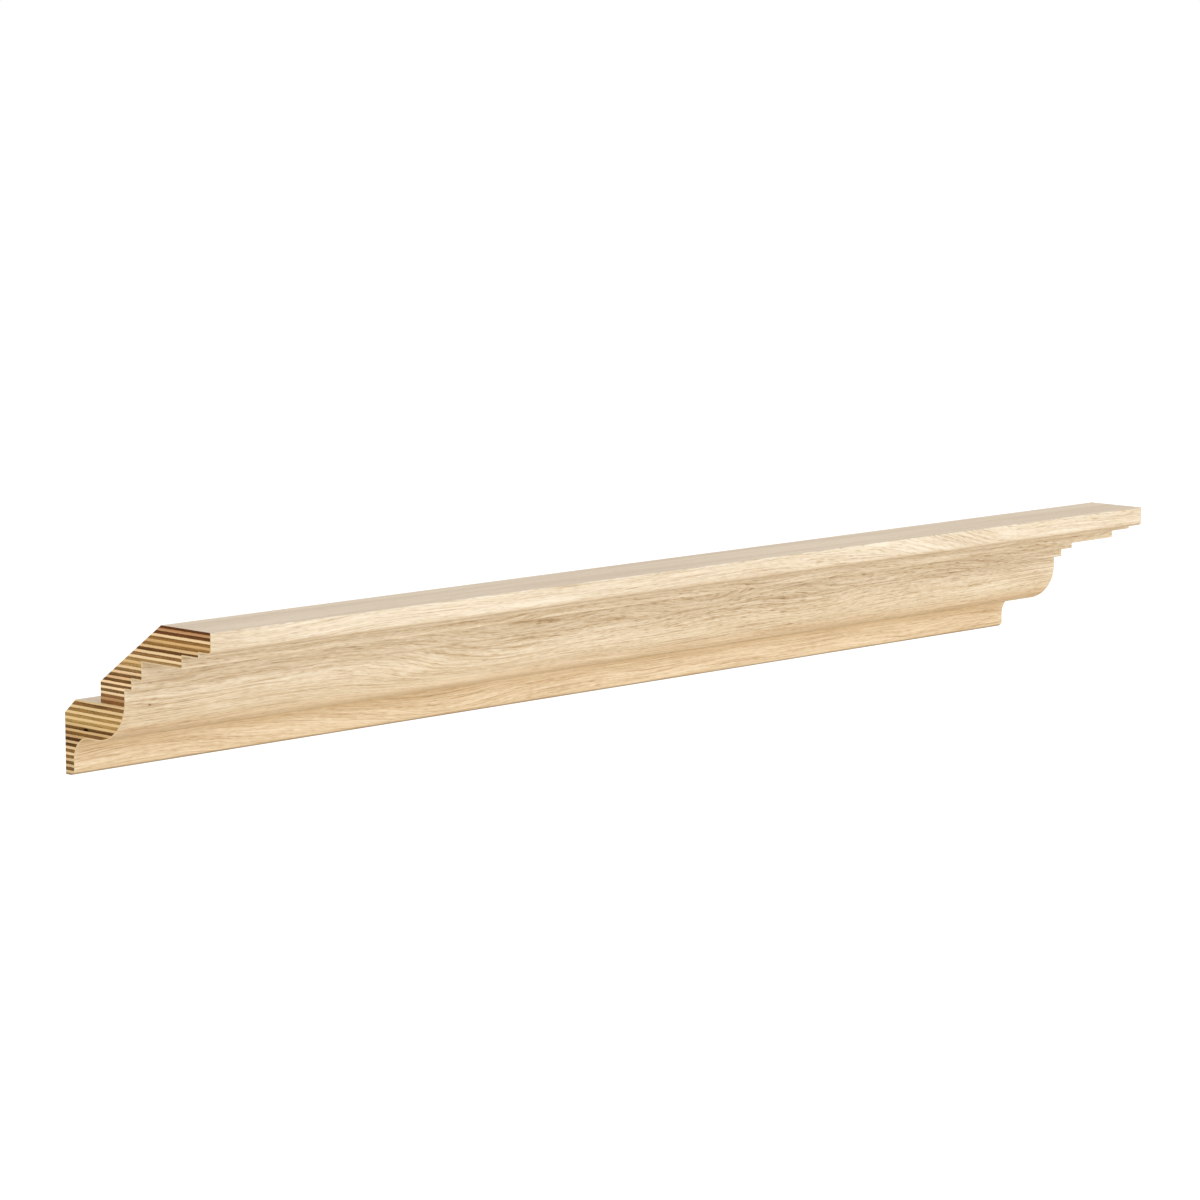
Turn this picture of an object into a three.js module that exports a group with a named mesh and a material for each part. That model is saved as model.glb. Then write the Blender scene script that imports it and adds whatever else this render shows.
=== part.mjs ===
// A straight piece of crown moulding, cut square at both ends.
// A body of layered plywood, its plies lying level, carries a thin oak veneer over its front profile.
// Millimetres. +X runs along the moulding, the wall is the plane Y = 0 with the profile projecting
// towards -Y, and +Z is up. The origin is the middle of the foot's back face, halfway along.
import * as THREE from "three";

// Overall sizes
const LENGTH = 666.75;
const HEIGHT = 76.2;
const PROJECTION = 104.4;
const VENEER = 0.6;

// The back, from the underside up: foot, chamfer, ledge, rebate wall, then the diagonal to the top face.
// A depth is measured out from the wall, and a height up from the underside.
const FOOT_BACK_HEIGHT = 28.8;
const CHAMFER_DEPTH = 8;
const LEDGE_HEIGHT = 35.6;
const REBATE_DEPTH = 26.4;
const REBATE_TOP = 46.2;
const TOP_BACK_DEPTH = 70;

// The front, from the top down: fascia, four small steps, neck, ovolo, soffit, cove, foot
const TOP_ARRIS_RADIUS = 0.5;
const FASCIA_BOTTOM = 66.3;
const FASCIA_RADIUS = 2.2;
const STEPS = [
  { depth: 96, bottom: 63.7, radius: 0.8 },
  { depth: 84.5, bottom: 57.9, radius: 0.3 },
  { depth: 56.3, bottom: 49.4, radius: 0.3 },
  { depth: 49, bottom: 44.1, radius: 0.3 },
];
const NECK_DEPTH = 43.9;
const OVOLO_RADIUS = 20.6;
const SOFFIT_HEIGHT = 18.2;
const COVE_RADIUS = 10.6;
const FOOT_DEPTH = 6.6;
const FOOT_RADIUS = 3.2;

// Segments of a quarter round are twice this number
const ARC_DIVISIONS = 8;

// Directions on the section, as angles: the front is at the left, the wall at the right
const WALLWARD = 0;
const UP = Math.PI / 2;
const FRONTWARD = Math.PI;
const DOWN = 1.5 * Math.PI;

// An arc on the section about a centre given by its depth and height
function arc(path, depth, height, radius, from, to) {
  path.absarc(-depth, height, radius, from, to, to < from);
}

// A rounded outside corner, or a bare one where the radius is used up
function corner(path, depth, height, radius, from, to) {
  if (radius <= 0) {
    path.lineTo(-depth, height);
    return;
  }
  const inward = from === UP ? -radius : radius;
  arc(path, depth - radius, height + inward, radius, from, to);
}

// The front as one open line on the section, from the top face down and back under the foot to the wall.
// It runs "inset" below the finished surface: outside curves shrink by it and the hollow cove grows.
function frontLine(inset) {
  const path = new THREE.Path();
  path.moveTo(VENEER - PROJECTION, HEIGHT);
  corner(path, PROJECTION - inset, HEIGHT, TOP_ARRIS_RADIUS - inset, UP, FRONTWARD);
  let level = FASCIA_BOTTOM + inset;
  corner(path, PROJECTION - inset, level, FASCIA_RADIUS - inset, FRONTWARD, DOWN);
  for (const step of STEPS) {
    path.lineTo(inset - step.depth, level);
    level = step.bottom + inset;
    corner(path, step.depth - inset, level, step.radius - inset, FRONTWARD, DOWN);
  }
  path.lineTo(inset - NECK_DEPTH, level);
  arc(path, NECK_DEPTH - OVOLO_RADIUS, SOFFIT_HEIGHT + OVOLO_RADIUS, OVOLO_RADIUS - inset, FRONTWARD, DOWN);
  arc(path, FOOT_DEPTH + COVE_RADIUS, SOFFIT_HEIGHT - COVE_RADIUS, COVE_RADIUS + inset, UP, WALLWARD);
  corner(path, FOOT_DEPTH - inset, inset, FOOT_RADIUS - inset, FRONTWARD, DOWN);
  path.lineTo(0, inset);
  return path.getPoints(ARC_DIVISIONS);
}

// The bare back as points on the section, from the wall up to the top face's back edge
function backLine() {
  return [
    new THREE.Vector2(0, FOOT_BACK_HEIGHT),
    new THREE.Vector2(-CHAMFER_DEPTH, LEDGE_HEIGHT),
    new THREE.Vector2(-REBATE_DEPTH, LEDGE_HEIGHT),
    new THREE.Vector2(-REBATE_DEPTH, REBATE_TOP),
    new THREE.Vector2(-TOP_BACK_DEPTH, HEIGHT),
  ];
}

// The plywood body: the section inside the veneer
function plywoodSection() {
  return new THREE.Shape([...frontLine(VENEER), ...backLine()]);
}

// The veneer: the skin between the finished surface and the plywood
function veneerSection() {
  return new THREE.Shape([...frontLine(0), ...frontLine(VENEER).reverse()]);
}

// A length of moulding with this section, from the left end to the right end.
// The section's own x, y and the extrusion become Y, Z and X.
function length(name, section, material) {
  const geometry = new THREE.ExtrudeGeometry(section, { depth: LENGTH, bevelEnabled: false });
  const mesh = new THREE.Mesh(geometry, material);
  const across = new THREE.Vector3(0, 1, 0);
  const up = new THREE.Vector3(0, 0, 1);
  const along = new THREE.Vector3(1, 0, 0);
  mesh.quaternion.setFromRotationMatrix(new THREE.Matrix4().makeBasis(across, up, along));
  mesh.position.set(-LENGTH / 2, 0, -FOOT_BACK_HEIGHT / 2);
  mesh.name = name;
  return mesh;
}

const plywood = new THREE.MeshStandardMaterial({ color: 0xb08a52, roughness: 0.75, metalness: 0 });
const oak = new THREE.MeshStandardMaterial({ color: 0xeed9b8, roughness: 0.6, metalness: 0 });

const moulding = new THREE.Group();
moulding.add(length("plywood_core", plywoodSection(), plywood));
moulding.add(length("oak_veneer", veneerSection(), oak));

export default moulding;
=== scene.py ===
# A straight piece of crown moulding, cut square at both ends, as it is glued up and milled in a shop.
# A body of layered plywood is milled first, and a thin oak veneer is then pressed over its front.
# Everything is in metres: X runs along the moulding, the wall is the plane y = 0 with the profile
# towards -Y, and Z is up. A place on the section is given by its depth from the wall and its height.
import math

import bpy
import numpy as np
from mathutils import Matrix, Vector
from mathutils.geometry import delaunay_2d_cdt


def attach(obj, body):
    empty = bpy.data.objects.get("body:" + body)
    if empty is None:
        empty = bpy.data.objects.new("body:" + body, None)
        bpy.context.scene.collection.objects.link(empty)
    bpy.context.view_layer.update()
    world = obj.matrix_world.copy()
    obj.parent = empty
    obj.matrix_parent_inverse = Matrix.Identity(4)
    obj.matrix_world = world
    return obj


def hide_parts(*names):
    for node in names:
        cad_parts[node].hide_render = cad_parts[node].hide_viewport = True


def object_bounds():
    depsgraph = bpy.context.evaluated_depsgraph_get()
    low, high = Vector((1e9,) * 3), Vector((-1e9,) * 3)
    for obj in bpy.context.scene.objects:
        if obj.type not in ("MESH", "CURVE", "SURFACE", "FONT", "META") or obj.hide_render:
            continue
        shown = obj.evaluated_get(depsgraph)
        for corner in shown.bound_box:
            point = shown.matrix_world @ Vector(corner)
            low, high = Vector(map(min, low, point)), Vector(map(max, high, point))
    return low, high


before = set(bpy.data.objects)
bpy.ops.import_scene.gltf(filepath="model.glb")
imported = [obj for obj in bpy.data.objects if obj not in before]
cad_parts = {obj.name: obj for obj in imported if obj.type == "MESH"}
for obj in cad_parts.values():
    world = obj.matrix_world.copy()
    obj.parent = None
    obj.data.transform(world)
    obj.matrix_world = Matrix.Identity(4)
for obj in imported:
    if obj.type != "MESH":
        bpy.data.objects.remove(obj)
cad_low, cad_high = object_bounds()


# The plywood body
# Birch plywood blanks, glued up flat and milled to the profile with the plies lying level. It carries
# the veneer on its front and takes the fixings at its back, and both its ends are sawn square.
MM = 0.001
height = 76.2 * MM
projection = 104.4 * MM
veneer_thickness = 0.6 * MM
top_arris_radius = 0.5 * MM
fascia_bottom = 66.3 * MM
fascia_radius = 2.2 * MM
step_depths = [96 * MM, 84.5 * MM, 56.3 * MM, 49 * MM]
step_bottoms = [63.7 * MM, 57.9 * MM, 49.4 * MM, 44.1 * MM]
step_radii = [0.8 * MM, 0.3 * MM, 0.3 * MM, 0.3 * MM]
neck_depth = 43.9 * MM
ovolo_radius = 20.6 * MM
soffit_height = 18.2 * MM
cove_radius = 10.6 * MM
foot_depth = 6.6 * MM
foot_radius = 3.2 * MM
foot_back_height = 28.8 * MM
chamfer_depth = 8 * MM
ledge_height = 35.6 * MM
rebate_depth = 26.4 * MM
rebate_top = 46.2 * MM
top_back_depth = 70 * MM

ply = 1.402 * MM
first_glue_line = 2.15 * MM
raised_plies = 39.5 * MM
raised_plies_spread = 5.5 * MM
raised_plies_gain = 0.64 * MM
glue_line_groove = 0.05 * MM
cross_ply_sink = 0.03 * MM
near_knot_hole = (15.1 * MM, 22.2 * MM, 1.3 * MM, 0.45 * MM, 6 * MM)
far_knot_hole = (78 * MM, 68.9 * MM, 1.8 * MM, 0.4 * MM, 5 * MM)

outline_spacing = 1.2 * MM
station_spacing = 16 * MM
end_spacing = 1.3 * MM
end_margin = 0.25 * MM
knot_spacing = 0.14 * MM
knot_margin = 0.4 * MM
same_spot = 0.002 * MM
smooth_below = math.radians(28)

WALLWARD = math.pi
UP = math.pi / 2
FRONTWARD = 0.0
DOWN = -math.pi / 2


def arc(depth, level, radius, start, end, points):
    """Points on a circle about a centre on the section: centre + radius * (cos angle, sin angle)."""
    angle = np.linspace(start, end, points)
    return np.column_stack([depth + radius * np.cos(angle), level + radius * np.sin(angle)])


def front_line(inset):
    """The front on the section, from the top face down to the wall.

    It runs "inset" below the finished surface: each face moves in by it, outside curves lose it from
    their radius and the hollow cove gains it. A radius that is used up leaves a bare corner.
    """
    radius = max(top_arris_radius - inset, 0)
    parts = [np.array([[projection - veneer_thickness, height]])]
    parts.append(arc(projection - inset - radius, height - radius, radius, UP, FRONTWARD, 6))
    fronts = [projection, *step_depths, neck_depth]
    levels = [fascia_bottom, *step_bottoms]
    for front, behind, level, finished in zip(fronts, fronts[1:], levels, [fascia_radius, *step_radii]):
        radius = max(finished - inset, 0)
        parts.append(arc(front - inset - radius, level + inset + radius, radius, FRONTWARD, DOWN, 9))
        parts.append(np.array([[behind - inset, level + inset]]))
    ovolo_middle = soffit_height + ovolo_radius
    parts.append(arc(neck_depth - ovolo_radius, ovolo_middle, ovolo_radius - inset, FRONTWARD, DOWN, 41))
    cove_middle = soffit_height - cove_radius
    parts.append(arc(foot_depth + cove_radius, cove_middle, cove_radius + inset, UP, WALLWARD, 25))
    radius = foot_radius - inset
    parts.append(arc(foot_depth - inset - radius, inset + radius, radius, FRONTWARD, DOWN, 13))
    parts.append(np.array([[0, inset]]))
    return np.concatenate(parts)


def back_line():
    """The back on the section, from the wall up to the back edge of the top face."""
    return np.array([
        [0, foot_back_height],
        [chamfer_depth, ledge_height],
        [rebate_depth, ledge_height],
        [rebate_depth, rebate_top],
        [top_back_depth, height],
    ])


def refined(outline, rows):
    """A closed outline with more points: one wherever it crosses a row's height, and one at every
    outline_spacing along its straight runs. Points that fall on the same spot are merged."""
    touching = same_spot / 20
    runs = np.hypot(*(np.roll(outline, -1, axis=0) - outline).T)
    outline, runs = outline[runs > touching], runs[runs > touching]
    ends = np.roll(outline, -1, axis=0)
    starts = np.concatenate([[0], np.cumsum(runs)])
    rise = ends[:, 1] - outline[:, 1]
    slopes = np.abs(rise) > touching
    share = (rows[None, :] - outline[:, 1:]) / np.where(slopes, rise, 1)[:, None]
    crosses = (share > 0) & (share < 1) & slopes[:, None]
    crossings = (starts[:-1, None] + share * runs[:, None])[crosses]
    fixed = np.concatenate([starts, crossings])
    extra = np.arange(outline_spacing, starts[-1], outline_spacing)
    clear = np.abs(extra[:, None] - fixed[None, :]).min(axis=1) > outline_spacing / 3
    along = np.unique(np.concatenate([starts[:-1], crossings, extra[clear]]))
    along = along[np.diff(along, prepend=-1) > same_spot]
    closed = np.concatenate([outline, outline[:1]])
    return np.column_stack([np.interp(along, starts, closed[:, axis]) for axis in (0, 1)])


def well_inside(points, outline, margin):
    """The points that lie inside a closed outline by more than the margin: a ray towards the wall
    crosses the outline an odd number of times, and no part of the outline is nearer than the margin."""
    start = outline[None, :, :]
    end = np.roll(outline, -1, axis=0)[None, :, :]
    point = points[:, None, :]
    run = end - start
    spans = (start[..., 1] > point[..., 1]) != (end[..., 1] > point[..., 1])
    reach = start[..., 0] + (point[..., 1] - start[..., 1]) * run[..., 0] / np.where(spans, run[..., 1], 1)
    odd = (spans & (reach < point[..., 0])).sum(axis=1) % 2 == 1
    share = np.clip(((point - start) * run).sum(axis=-1) / (run * run).sum(axis=-1), 0, 1)
    gap = np.hypot(*np.moveaxis(start + share[..., None] * run - point, -1, 0)).min(axis=1)
    return points[odd & (gap > margin)]


def filled(outline, inner):
    """The flat face inside a closed outline, through some inner points, as points and triangles."""
    loop = np.arange(len(outline))
    edges = np.column_stack([loop, np.roll(loop, -1)]).tolist()
    given = np.concatenate([outline, inner]).tolist()
    points, _, triangles, *_ = delaunay_2d_cdt(given, edges, [], 1, 1e-9)
    return np.array(points), np.array(triangles)


def milled_length(name, outline, near_end, far_end):
    """A closed length of moulding: its outline is carried along X, with a face at each end. An end is
    its points, the outline's first, how far in from the saw cut each point lies, and its triangles."""
    near_points, near_sink, near_faces = near_end
    far_points, far_sink, far_faces = far_end
    count = len(outline)
    length = cad_high.x - cad_low.x
    stations = np.linspace(cad_low.x, cad_high.x, round(length / station_spacing) + 1)[1:-1]
    near = np.column_stack([cad_low.x + near_sink, near_points])
    far = np.column_stack([cad_high.x - far_sink, far_points])
    middle = np.column_stack([np.repeat(stations, count), np.tile(outline, (len(stations), 1))])
    x, depth, level = np.concatenate([near, middle, far]).T
    far_start = len(near) + len(middle)
    rings = np.concatenate([
        np.arange(count)[None, :],
        len(near) + np.arange(len(middle)).reshape(-1, count),
        far_start + np.arange(count)[None, :],
    ])
    onward = np.roll(rings, -1, axis=1)
    walls = np.stack([rings[:-1], onward[:-1], onward[1:], rings[1:]], axis=-1).reshape(-1, 4)
    turned_far_faces = far_start + far_faces[:, ::-1]
    mesh = bpy.data.meshes.new(name)
    faces = [*walls.tolist(), *near_faces.tolist(), *turned_far_faces.tolist()]
    mesh.from_pydata(np.column_stack([x, -depth, cad_low.z + level]).tolist(), [], faces)
    mesh.shade_smooth()
    mesh.set_sharp_from_angle(angle=smooth_below)
    piece = bpy.data.objects.new(name, mesh)
    bpy.context.scene.collection.objects.link(piece)
    return piece


def ply_number(level):
    """How many plies lie below a height: the height, less a little near "raised_plies", where the
    stack lies higher, and less the lowest glue line's height, divided by the thickness of a ply. So
    the plies are a little thicker near the ledge, and a little thinner just above it."""
    gain = raised_plies_gain * np.exp(-(((level - raised_plies) / raised_plies_spread) ** 2))
    return (level - gain - first_glue_line) / ply


levels = np.linspace(0, height, 4000)
rows = np.interp(np.arange(-1.25, ply_number(height), 0.25), ply_number(levels), levels)
body_outline = refined(np.concatenate([front_line(veneer_thickness), back_line()]), rows)
columns = np.arange(1 * MM, projection, end_spacing)
lattice = np.stack(np.meshgrid(columns, rows), axis=-1).reshape(-1, 2)


def sawn_end(knot_hole):
    """One end of the plywood, with its relief: a fine groove at each glue line, each cross ply sunk
    a little, and a pit where a knot fell out of a ply. The knot hole is its depth, height, half width,
    half height and how deep it goes in. The pit keeps that depth out to 0.8 of the half sizes and
    ends at 1.2 of them, and the triangles are finer in it and round it."""
    depth, level, half_width, half_height, deep = knot_hole
    inner = well_inside(lattice, body_outline, end_margin)
    reach = np.array([half_width, half_height]) + knot_margin
    inner = inner[(np.abs(inner - [depth, level]) > reach).any(axis=1)]
    across, up = np.meshgrid(*(np.arange(-side, side, knot_spacing) for side in reach))
    inner = np.concatenate([inner, np.column_stack([depth + across.ravel(), level + up.ravel()])])
    points, triangles = filled(body_outline, inner)
    number = ply_number(points[:, 1])
    on_glue_line = np.abs(number - np.round(number)) < 0.1
    on_cross_ply = np.floor(number) % 2 == 1
    relief = np.where(on_glue_line, glue_line_groove, np.where(on_cross_ply, cross_ply_sink, 0))
    distance = np.hypot((points[:, 0] - depth) / half_width, (points[:, 1] - level) / half_height)
    pit = deep * np.clip((1.2 - distance) / 0.4, 0, 1)
    return points, np.maximum(relief, pit), triangles


near_end = sawn_end(near_knot_hole)
far_end = sawn_end(far_knot_hole)
plywood = milled_length("plywood_body", body_outline, near_end, far_end)


def colour(red, green, blue):
    """A wood's own colour, noted as it looks on a screen, as the light that it sends back."""
    seen = np.array([red, green, blue]) / 255
    light = np.where(seen < 0.04045, seen / 12.92, ((seen + 0.055) / 1.055) ** 2.4)
    return (*light.tolist(), 1.0)


def node(tree, kind, inputs=None, **settings):
    """One node of a material. "inputs" gives some of its inputs a value or another node's output."""
    made = tree.nodes.new(kind)
    for name, value in settings.items():
        setattr(made, name, value)
    for name, value in (inputs or {}).items():
        if isinstance(value, bpy.types.NodeSocket):
            tree.links.new(value, made.inputs[name])
        else:
            made.inputs[name].default_value = value
    return made.outputs


def calc(tree, operation, *values):
    """A sum on one, two or three numbers, such as MULTIPLY, ADD or MULTIPLY_ADD."""
    return node(tree, "ShaderNodeMath", dict(enumerate(values)), operation=operation)[0]


def eased(tree, value, start, end, full=1.0):
    """0 where a value is at its start, full where it is at its end, and a smooth change between."""
    inputs = {"Value": value, "From Min": start, "From Max": end, "To Max": full}
    return node(tree, "ShaderNodeMapRange", inputs, interpolation_type="SMOOTHSTEP")[0]


def around(tree, value, middle, spread):
    """1 at the middle, fading to nothing on both sides: e to the power -((value - middle) / spread)^2."""
    away = calc(tree, "DIVIDE", calc(tree, "SUBTRACT", value, middle), spread)
    return calc(tree, "EXPONENT", calc(tree, "MULTIPLY", calc(tree, "MULTIPLY", away, away), -1))


def spot(tree, first, second, middle, spread):
    """1 where two values are both at their middles, fading to nothing all round: one around() for
    each of them, multiplied."""
    first_near = around(tree, first, middle[0], spread[0])
    return calc(tree, "MULTIPLY", first_near, around(tree, second, middle[1], spread[1]))


def mixed(tree, share, first, second, way="MIX"):
    """Two colours, mixed by a share from 0 to 1."""
    inputs = {0: share, 6: first, 7: second}
    return node(tree, "ShaderNodeMix", inputs, data_type="RGBA", blend_type=way)[2]


def streaks(tree, along, across, length, width, seed, detail=2.0):
    """Noise from 0 to 1, drawn out with the grain: its streaks are about this long and this wide."""
    place = {0: calc(tree, "DIVIDE", along, length), 1: calc(tree, "DIVIDE", across, width), 2: seed}
    vector = node(tree, "ShaderNodeCombineXYZ", place)[0]
    return node(tree, "ShaderNodeTexNoise", {"Vector": vector, "Scale": 1.0, "Detail": detail})[0]


def places(tree):
    """Where a point of the moulding is, in millimetres: along it, out from the wall, and up."""
    xyz = node(tree, "ShaderNodeSeparateXYZ", {0: node(tree, "ShaderNodeTexCoord")["Object"]})
    along = calc(tree, "MULTIPLY", xyz[0], 1 / MM)
    depth = calc(tree, "MULTIPLY", xyz[1], -1 / MM)
    level = calc(tree, "MULTIPLY_ADD", xyz[2], 1 / MM, -cad_low.z / MM)
    return along, depth, level


def wood(name, polish, tone_and_surface):
    """A material for bare wood. "polish" is how much of the light its surface mirrors, where 0.5 is
    that of varnish. "tone_and_surface" makes its nodes and returns its colour, how high its surface
    stands from 0 to 1, and how deep its lowest places are in metres. Low places are also rougher,
    because the cutter and the sanding belt don't reach into them."""
    material = bpy.data.materials.new(name)
    material.use_nodes = True
    tree = material.node_tree
    shader = tree.nodes["Principled BSDF"]
    shader.inputs["Specular IOR Level"].default_value = polish
    tone, surface, deepest = tone_and_surface(tree, *places(tree))
    tree.links.new(tone, shader.inputs["Base Color"])
    tree.links.new(calc(tree, "MULTIPLY_ADD", surface, -0.35, 0.9), shader.inputs["Roughness"])
    bump = node(tree, "ShaderNodeBump", {"Height": surface, "Distance": deepest})
    tree.links.new(bump[0], shader.inputs["Normal"])
    return material


def ply_stack(tree, level):
    """Which ply a height falls in: 1 in each ply whose grain runs along the moulding and 0 in each
    cross ply, and a random number from 0 to 1 for each such pair of plies. The plies are counted as
    in ply_number, and a ply whose grain runs along is a little thicker than a cross ply."""
    gain = around(tree, level, raised_plies / MM, raised_plies_spread / MM)
    gain = calc(tree, "MULTIPLY_ADD", gain, raised_plies_gain / MM, first_glue_line / MM)
    pair = calc(tree, "DIVIDE", calc(tree, "SUBTRACT", level, gain), 2 * ply / MM)
    from_middle = calc(tree, "ABSOLUTE", calc(tree, "SUBTRACT", calc(tree, "FRACT", pair), 0.25))
    from_middle = calc(tree, "MINIMUM", from_middle, calc(tree, "SUBTRACT", 1, from_middle))
    own = node(tree, "ShaderNodeTexWhiteNoise", {"W": calc(tree, "FLOOR", pair)}, noise_dimensions="1D")
    return eased(tree, from_middle, 0.3, 0.265), own[0]


def tone_scale(tree, value, tones):
    """Colours at set places from 0 to 1, with an even change from each to the next."""
    scale = node(tree, "ShaderNodeValToRGB", {0: value})
    stops = tree.nodes[-1].color_ramp.elements
    while len(stops) < len(tones):
        stops.new(1.0)
    for stop, (position, tone) in zip(stops, tones):
        stop.position = position
        stop.color = tone
    return scale[0]


def sawn_across(tree, along, depth, level):
    """The saw cut across the plies: every other ply shows dark end grain, and those between are pale.
    Each sheet of veneer has its own tone, so both kinds change from the foot to the top. One sheet
    has a dark streak in it, and the dark plies round the knot hole are stained, and inside the pit
    the same darkening is painted shade."""
    wander = calc(tree, "MULTIPLY_ADD", streaks(tree, depth, level, 14, 5, 3), 0.26, -0.13)
    fuzz = calc(tree, "MULTIPLY_ADD", streaks(tree, depth, level, 1.1, 0.4, 8), 0.3, -0.15)
    level = calc(tree, "ADD", level, calc(tree, "ADD", wander, fuzz))
    end_grain, own = ply_stack(tree, level)
    share = calc(tree, "DIVIDE", level, height / MM)
    dark = tone_scale(tree, share, [
        (0.05, colour(114, 88, 50)), (0.15, colour(136, 102, 56)), (0.19, colour(96, 64, 26)),
        (0.225, colour(74, 46, 14)), (0.26, colour(122, 88, 46)), (0.295, colour(98, 68, 28)),
        (0.34, colour(180, 150, 94)), (0.41, colour(146, 114, 66)), (0.49, colour(130, 88, 48)),
        (0.56, colour(122, 94, 56)), (0.65, colour(106, 74, 36)), (0.76, colour(176, 146, 96)),
        (0.81, colour(146, 110, 66)), (0.845, colour(96, 64, 26)), (0.90, colour(162, 124, 70)),
        (0.96, colour(96, 56, 22)),
    ])
    pale = tone_scale(tree, share, [
        (0.09, colour(214, 190, 150)), (0.13, colour(238, 216, 178)), (0.24, colour(196, 166, 122)),
        (0.29, colour(212, 184, 136)), (0.37, colour(236, 210, 162)), (0.46, colour(220, 196, 152)),
        (0.50, colour(170, 128, 86)), (0.55, colour(248, 226, 190)), (0.61, colour(248, 218, 178)),
        (0.65, colour(220, 184, 142)), (0.70, colour(244, 218, 182)), (0.75, colour(214, 182, 126)),
        (0.80, colour(246, 224, 186)), (0.90, colour(210, 174, 120)), (0.94, colour(244, 220, 180)),
        (0.98, colour(182, 136, 94)),
    ])
    pores = streaks(tree, depth, level, 1.3, 0.5, 15, 3)
    smear = streaks(tree, depth, level, 9, 0.7, 21)
    shade = calc(tree, "MULTIPLY_ADD", own, 0.2, 0.9)
    shade = calc(tree, "MULTIPLY", shade, calc(tree, "MULTIPLY_ADD", pores, 1.2, 0.4))
    shade = calc(tree, "MULTIPLY", shade, calc(tree, "MULTIPLY_ADD", smear, 1.2, 0.4))
    dark = mixed(tree, 1.0, dark, shade, "MULTIPLY")
    streak_place = (25.5, 34.4)
    streak = spot(tree, depth, level, streak_place, (8, 0.9))
    dark = mixed(tree, calc(tree, "MULTIPLY", streak, 0.8), dark, colour(84, 54, 20))
    # The dark plies round the knot hole are stained, and inside the pit the same darkening is painted
    # shade.
    knot_place = (near_knot_hole[0] / MM, near_knot_hole[1] / MM)
    stain_and_pit_shade = spot(tree, depth, level, knot_place, (2.2, 0.8))
    dark = mixed(tree, stain_and_pit_shade, dark, colour(52, 32, 12))
    fibre = streaks(tree, depth, level, 18, 0.5, 31)
    shade = calc(tree, "MULTIPLY_ADD", fibre, 0.5, 0.75)
    pale = mixed(tree, 1.0, pale, shade, "MULTIPLY")
    surface = node(tree, "ShaderNodeMix", {0: end_grain, 2: fibre, 3: pores})[0]
    return mixed(tree, end_grain, pale, dark), surface, 0.1 * MM


def milled_lengthwise(tree, along, depth, level):
    """The edges of the plies along the back, where the two kinds change places: the plies that are
    dark at the ends show pale long grain here, and the cross plies show their end grain."""
    drift = calc(tree, "MULTIPLY_ADD", streaks(tree, along, level, 240, 30, 41), 0.5, -0.25)
    long_grain, own = ply_stack(tree, calc(tree, "ADD", level, drift))
    fibre = streaks(tree, along, level, 22, 0.35, 43)
    bands = streaks(tree, along, level, 130, 1.1, 47)
    pale = mixed(tree, eased(tree, bands, 0.3, 0.7), colour(206, 180, 140), colour(188, 158, 114))
    pale = mixed(tree, eased(tree, fibre, 0.45, 0.8, 0.5), pale, colour(160, 126, 84))
    pores = streaks(tree, along, level, 0.9, 0.45, 51, 3)
    patch = streaks(tree, along, level, 38, 3, 53)
    dark = mixed(tree, eased(tree, patch, 0.3, 0.7), colour(150, 114, 72), colour(122, 88, 52))
    dark = mixed(tree, eased(tree, pores, 0.45, 0.7, 0.6), dark, colour(84, 58, 32))
    dark = mixed(tree, calc(tree, "MULTIPLY", own, 0.5), dark, colour(166, 132, 88))
    surface = node(tree, "ShaderNodeMix", {0: long_grain, 2: pores, 3: fibre})[0]
    return mixed(tree, long_grain, dark, pale), surface, 0.1 * MM


def sanded_ply_face(tree, along, depth, level):
    """The flat of one ply, sanded smooth: the grain runs along the moulding on the top face, and out
    from the wall on the ledge, which is the upper side of a cross ply."""
    on_top = calc(tree, "GREATER_THAN", level, rebate_top / MM)
    run = node(tree, "ShaderNodeMix", {0: on_top, 2: depth, 3: along})[0]
    over = node(tree, "ShaderNodeMix", {0: on_top, 2: along, 3: depth})[0]
    bands = streaks(tree, run, over, 210, 7, 61)
    fibre = streaks(tree, run, over, 26, 0.5, 63)
    pores = streaks(tree, run, over, 5, 0.4, 67, 1)
    tone = mixed(tree, eased(tree, bands, 0.3, 0.7), colour(211, 194, 171), colour(199, 180, 156))
    tone = mixed(tree, eased(tree, fibre, 0.4, 0.8, 0.5), tone, colour(180, 158, 130))
    open_pore = eased(tree, pores, 0.6, 0.75)
    tone = mixed(tree, calc(tree, "MULTIPLY", open_pore, 0.35), tone, colour(156, 132, 102))
    surface = calc(tree, "MULTIPLY_ADD", fibre, 0.3, 0.7)
    surface = calc(tree, "MULTIPLY_ADD", open_pore, -0.5, surface)
    return tone, surface, 0.05 * MM


SAWN, EDGES, FACE = range(3)
plywood.data.materials.append(wood("sawn_plies", 0.12, sawn_across))
plywood.data.materials.append(wood("ply_edges", 0.2, milled_lengthwise))
plywood.data.materials.append(wood("ply_face", 0.3, sanded_ply_face))
normals = np.empty(3 * len(plywood.data.polygons), dtype=np.float32)
plywood.data.polygons.foreach_get("normal", normals)
facing_up = normals.reshape(-1, 3)[:, 2]
finish = np.where(facing_up > 0.99, FACE, EDGES)
end_faces = len(near_end[2]) + len(far_end[2])
finish[-end_faces:] = SAWN
plywood.data.polygons.foreach_set("material_index", finish.astype(np.int32))
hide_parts("plywood_core")
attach(plywood, "root")


# The oak veneer
# One sheet of sliced oak, 0.6 mm thick, its grain along the moulding. It is pressed over the milled
# front from the fascia's top arris down to the underside of the foot, and left bare and sanded.
veneer_outline = refined(np.concatenate([front_line(0), front_line(veneer_thickness)[::-1]]), rows[:0])
veneer_points, veneer_triangles = filled(veneer_outline, np.empty((0, 2)))
veneer_end = (veneer_points, np.zeros(len(veneer_points)), veneer_triangles)
veneer = milled_length("oak_face", veneer_outline, veneer_end, veneer_end)


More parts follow.
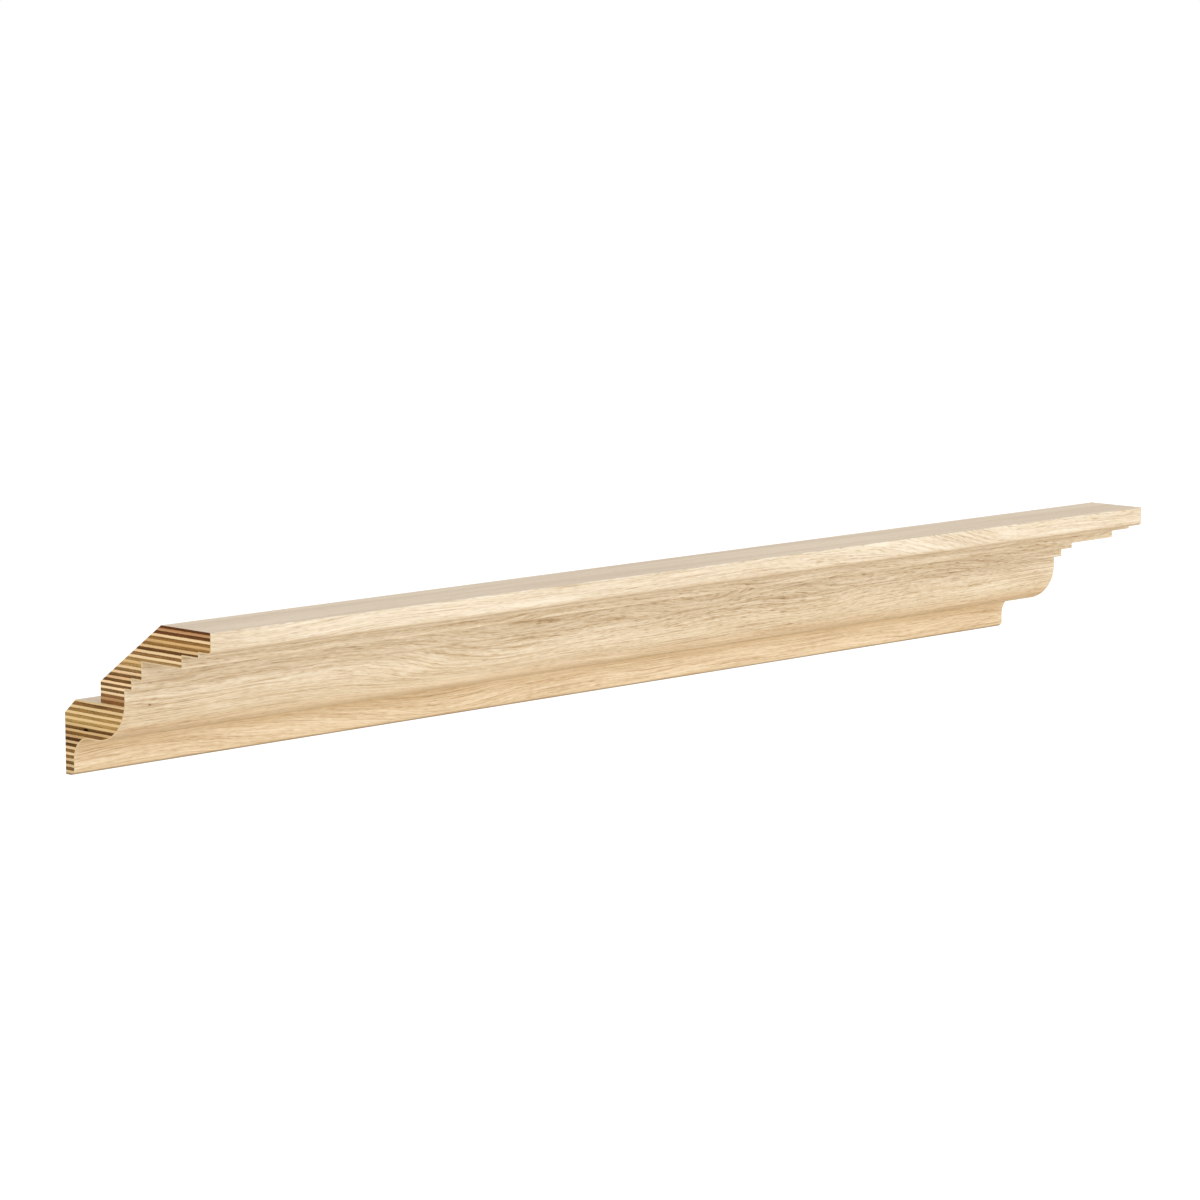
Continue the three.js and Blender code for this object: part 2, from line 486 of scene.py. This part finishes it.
def grain_line(tree, along, across):
    """Which line of the grain a point lies on: its "across", moved by some millimetres. The grain
    sweeps low down at the left and high up at the right, swirls near the middle, and wanders."""
    low_sweep = calc(tree, "MULTIPLY", eased(tree, along, -218, -94), eased(tree, across, 150, 70, 12))
    high_sweep = calc(tree, "MULTIPLY", eased(tree, along, 110, 235), eased(tree, across, 162, 170.5, 24))
    swirl_place = (36, 103)
    swirl = spot(tree, along, across, swirl_place, (34, 11))
    grain = calc(tree, "ADD", across, calc(tree, "ADD", low_sweep, high_sweep))
    grain = calc(tree, "MULTIPLY_ADD", swirl, 7, grain)
    for length, width, reach, seed in [(190, 45, 8, 5), (75, 12, 1.8, 9), (16, 4, 0.3, 12)]:
        bend = streaks(tree, along, across, length, width, seed, 1)
        grain = calc(tree, "ADD", grain, calc(tree, "MULTIPLY_ADD", bend, 2 * reach, -reach))
    return grain


def wood_density(tree, along, across, grain):
    """How dense the oak is at a point, from 0 to 1: some places are denser or less dense than the
    rest, and bands and growth lines of six sizes run along the grain."""
    growth = 0.41
    for middle, spread, gain in [
        ((-76, 120), (60, 32), 0.08), ((-135, 71), (40, 4), 0.1), ((-280, 30), (45, 6), 0.14),
        ((200, 106), (60, 8), 0.06), ((230, 86), (120, 14), 0.02), ((255, 166), (110, 7), -0.1),
        ((230, 60), (120, 6), -0.06), ((-35, 78), (110, 9), -0.04),
    ]:
        growth = calc(tree, "MULTIPLY_ADD", spot(tree, along, across, middle, spread), gain, growth)
    layers = [
        (230, 13, 0.36, 11), (80, 5, 0.2, 14), (90, 1.5, 0.36, 17),
        (50, 0.9, 0.5, 23), (15, 0.55, 0.5, 29), (5, 0.45, 0.5, 37),
    ]
    for length, width, weight, seed in layers:
        layer = streaks(tree, along, grain, length, width, seed)
        growth = calc(tree, "ADD", growth, calc(tree, "MULTIPLY_ADD", layer, weight, -weight / 2))
    return growth


def sanded_oak(tree, along, depth, level):
    """Sliced oak: cream wood with tan growth lines, and short open pores, which are coarser to the
    right and finer on the foot. Over the belly of the ovolo it is painted a little paler, as painted
    light, and from there down it is painted more golden, as painted warm shade under the overhangs.
    The fascia and the step under it are painted greyer, as the painted sheen of the brightly lit
    front. Painted shade darkens the sheet on the fascia's lower round, where it bends tightly down,
    and on the arris under the foot. The sheet is paler on its sawn edge at both ends. It has one
    small knot, near the left end. "across" is how far down the sheet a point is, as its depth plus
    its height, which falls all the way from the top arris to the foot."""
    across = calc(tree, "ADD", depth, level)
    grain = grain_line(tree, along, across)
    growth = wood_density(tree, along, across, grain)
    tones = [(0.22, colour(221, 211, 193)), (0.5, colour(199, 181, 154)), (0.77, colour(158, 129, 95))]
    tone = tone_scale(tree, growth, tones)
    lines = streaks(tree, along, grain, 70, 0.7, 57, 1)
    tone = mixed(tree, eased(tree, lines, 0.6, 0.7, 0.5), tone, colour(154, 122, 84))
    coarse = calc(tree, "ADD", eased(tree, along, -140, 60, 0.7), 0.3)
    coarse = calc(tree, "MULTIPLY", coarse, eased(tree, across, 25, 50))
    flecks = eased(tree, streaks(tree, along, grain, 7, 0.42, 59, 1), 0.6, 0.74, 0.45)
    tone = mixed(tree, calc(tree, "MULTIPLY", flecks, coarse), tone, colour(136, 106, 72))
    pores = streaks(tree, along, grain, 8, 0.42, 35, 1)
    open_pore = eased(tree, calc(tree, "MULTIPLY_ADD", growth, 0.3, pores), 0.72, 0.85)
    share = calc(tree, "MULTIPLY", open_pore, calc(tree, "MULTIPLY_ADD", coarse, 0.34, 0.22))
    tone = mixed(tree, share, tone, colour(128, 98, 66))
    # Painted warm shade: from the ovolo's belly down the sheet is painted more golden, standing in for the
    # dim warm light under the overhangs.
    painted_warm_shade = mixed(tree, eased(tree, across, 58, 42), (1, 1, 1, 1), (0.99, 0.93, 0.845, 1))
    tone = mixed(tree, 1.0, tone, painted_warm_shade, "MULTIPLY")
    # Painted light: the sheet is painted a little paler over the belly of the ovolo.
    belly = around(tree, across, 60, 5)
    tone = mixed(tree, belly, tone, (1.07, 1.04, 1.03, 1), "MULTIPLY")
    # Painted highlight: the fascia and the step under it are painted greyer, as the sheen of the brightly
    # lit front.
    painted_fascia_sheen = eased(tree, across, 155, 161, 0.22)
    tone = mixed(tree, painted_fascia_sheen, tone, colour(200, 187, 172))
    # Painted shade: the sheet is painted darker on the fascia's lower round, where it turns down away from
    # the light.
    fascia_bend = (projection + fascia_bottom) / MM
    painted_fascia_round_shade = calc(tree, "MULTIPLY", around(tree, across, fascia_bend, 1.8), 0.2)
    tone = mixed(tree, painted_fascia_round_shade, tone, colour(158, 136, 110))
    end = cad_high.x / MM
    sawn_edge = eased(tree, calc(tree, "ABSOLUTE", along), end - 0.2, end - 0.02, 0.5)
    tone = mixed(tree, sawn_edge, tone, colour(234, 212, 172))
    # Painted shade: the arris under the foot is painted darker and greyer, where it turns down away from
    # the light.
    painted_underside_shade = eased(tree, level, 1.6, 0.5, 0.75)
    tone = mixed(tree, painted_underside_shade, tone, colour(130, 112, 92))
    knot_place = (-319, 79.2)
    knot = spot(tree, along, across, knot_place, (0.8, 0.45))
    tone = mixed(tree, knot, tone, colour(112, 76, 46))
    fibre = streaks(tree, along, grain, 11, 0.35, 41)
    surface = calc(tree, "MULTIPLY_ADD", fibre, 0.3, 0.7)
    surface = calc(tree, "MULTIPLY_ADD", open_pore, -0.6, surface)
    return tone, surface, 0.08 * MM


veneer.data.materials.append(wood("sanded_oak", 0.3, sanded_oak))
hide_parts("oak_veneer")
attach(veneer, "root")


# The camera, the light and the floor
# The moulding is seen at the height where it would be fixed, well above a pale floor. The room above
# it is white, the light that comes up from below is warm, and dim from straight below, and one large
# soft lamp faces the front from the right of the camera.
view_down = math.radians(7.956)
view_right = math.radians(45.29)
camera_data = bpy.data.cameras.new("camera")
camera_data.lens = 126.05
camera_data.sensor_width = 36
camera_data.clip_end = 200
camera = bpy.data.objects.new("camera", camera_data)
camera.location = (-1.5104, -1.51, 0.3316)
camera.rotation_euler = (math.pi / 2 - view_down, 0, -view_right)
bpy.context.scene.collection.objects.link(camera)
bpy.context.scene.camera = camera

room = bpy.data.worlds.new("pale_room")
room.use_nodes = True
tree = room.node_tree
direction = node(tree, "ShaderNodeSeparateXYZ", {0: node(tree, "ShaderNodeTexCoord")["Generated"]})
light = tone_scale(tree, calc(tree, "ADD", direction[2], 1), [
    (0, (0.35, 0.3, 0.24, 1)), (0.35, (0.97, 0.75, 0.46, 1)),
    (0.8, (1, 0.8, 0.52, 1)), (0.9, (0.88, 0.88, 0.88, 1)),
])
tree.links.new(light, tree.nodes["Background"].inputs["Color"])
tree.nodes["Background"].inputs["Strength"].default_value = 1.15
bpy.context.scene.world = room
bpy.context.scene.view_settings.view_transform = "Standard"

lamp_data = bpy.data.lights.new("soft_light", "AREA")
lamp_data.shape = "RECTANGLE"
lamp_data.size = 2.4
lamp_data.size_y = 1.6
lamp_data.energy = 48
lamp_data.color = (0.83, 0.92, 1.0)
lamp = bpy.data.objects.new("soft_light", lamp_data)
lamp.location = (0.4, -2.6, 0.5)
lit_place = Vector((0, -0.05, 0.02))
towards = lit_place - lamp.location
lamp.rotation_euler = towards.to_track_quat("-Z", "Y").to_euler()
bpy.context.scene.collection.objects.link(lamp)

floor_level = -1.3
floor_reach = 60
corners = [(-1, -1), (1, -1), (1, 1), (-1, 1)]
floor_points = [(x * floor_reach, y * floor_reach, floor_level) for x, y in corners]
floor_mesh = bpy.data.meshes.new("floor")
floor_mesh.from_pydata(floor_points, [], [(0, 1, 2, 3)])
floor = bpy.data.objects.new("floor", floor_mesh)
floor.visible_diffuse = False
floor.visible_glossy = False
bpy.context.scene.collection.objects.link(floor)
paint = bpy.data.materials.new("floor_paint")
paint.use_nodes = True
floor_shader = paint.node_tree.nodes["Principled BSDF"]
floor_shader.inputs["Base Color"].default_value = (0.8, 0.8, 0.8, 1)
floor_shader.inputs["Roughness"].default_value = 0.9
floor_shader.inputs["Emission Color"].default_value = (1, 1, 1, 1)
floor_shader.inputs["Emission Strength"].default_value = 0.3
floor_mesh.materials.append(paint)
